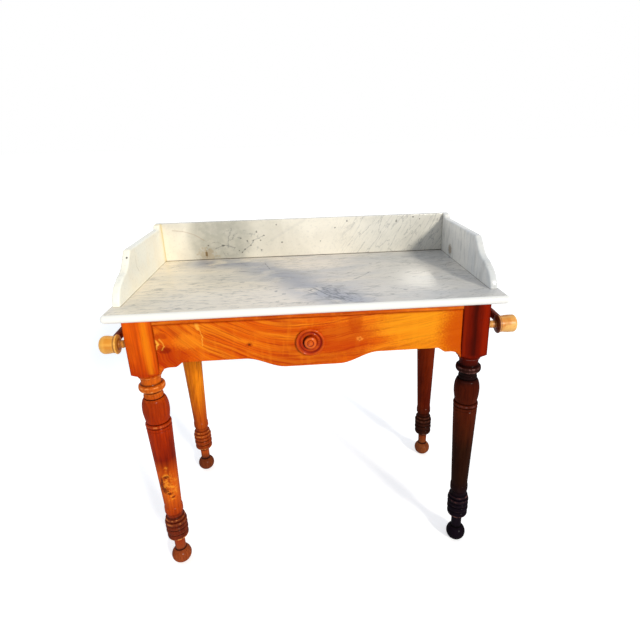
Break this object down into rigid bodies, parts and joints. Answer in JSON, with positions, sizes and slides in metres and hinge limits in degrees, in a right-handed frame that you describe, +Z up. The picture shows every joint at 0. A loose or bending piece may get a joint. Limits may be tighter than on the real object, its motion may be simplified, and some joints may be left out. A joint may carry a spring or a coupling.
{
  "type": "washstand",
  "caption": "Washstand with a marble slab and upstands on turned legs, a wide drawer with a scalloped front and a towel rail on each side.",
  "frame": {"origin": "centre of the slab's width on the floor; the box's middle lies 5 mm further right, because the left pegs are shorter", "axes": "+Z up, the drawer front faces -Y, +X to the right of someone facing it"},
  "size_m": [0.9585, 0.4946, 0.836],
  "materials": {
    "marble": "polished white marble with grey veins",
    "varnished_wood": "varnished reddish orange wood",
    "inner_wood": "plain unfinished wood",
    "knob_wood": "polished dark red wood",
    "peg_wood": "waxed pale yellow wood",
    "dark_wood": "dark brown polished wood",
    "pin_metal": "dull metal"
  },
  "bodies": {
    "frame": {"marble_slab": "marble", "back_upstand": "marble", "left_upstand": "marble", "right_upstand": "marble", "upstand_pins": "pin_metal", "leg_front_left": "varnished_wood", "leg_front_right": "varnished_wood", "leg_back_left": "varnished_wood", "leg_back_right": "varnished_wood", "side_rail_left": "varnished_wood", "side_rail_right": "varnished_wood", "back_rail": "varnished_wood", "top_front_rail": "varnished_wood", "joint_pegs": "dark_wood", "runner_left": "inner_wood", "runner_right": "inner_wood", "guide_left": "inner_wood", "guide_right": "inner_wood", "kicker_left": "inner_wood", "kicker_right": "inner_wood", "drawer_stops": "inner_wood", "peg_front_left": "peg_wood", "peg_front_right": "peg_wood", "peg_back_left": "peg_wood", "peg_back_right": "peg_wood", "towel_rail_left": "dark_wood", "towel_rail_right": "dark_wood"},
    "drawer": {"drawer_front": "varnished_wood", "drawer_side_left": "inner_wood", "drawer_side_right": "inner_wood", "drawer_back": "inner_wood", "drawer_bottom": "inner_wood", "drawer_knob": "knob_wood", "handle_hole_plugs": "dark_wood"}
  },
  "joints": [
    {"name": "drawer_slide", "type": "slide", "parent": "frame", "child": "drawer", "axis": [0, -1, 0], "range_m": [0, 0.26]}
  ]
}
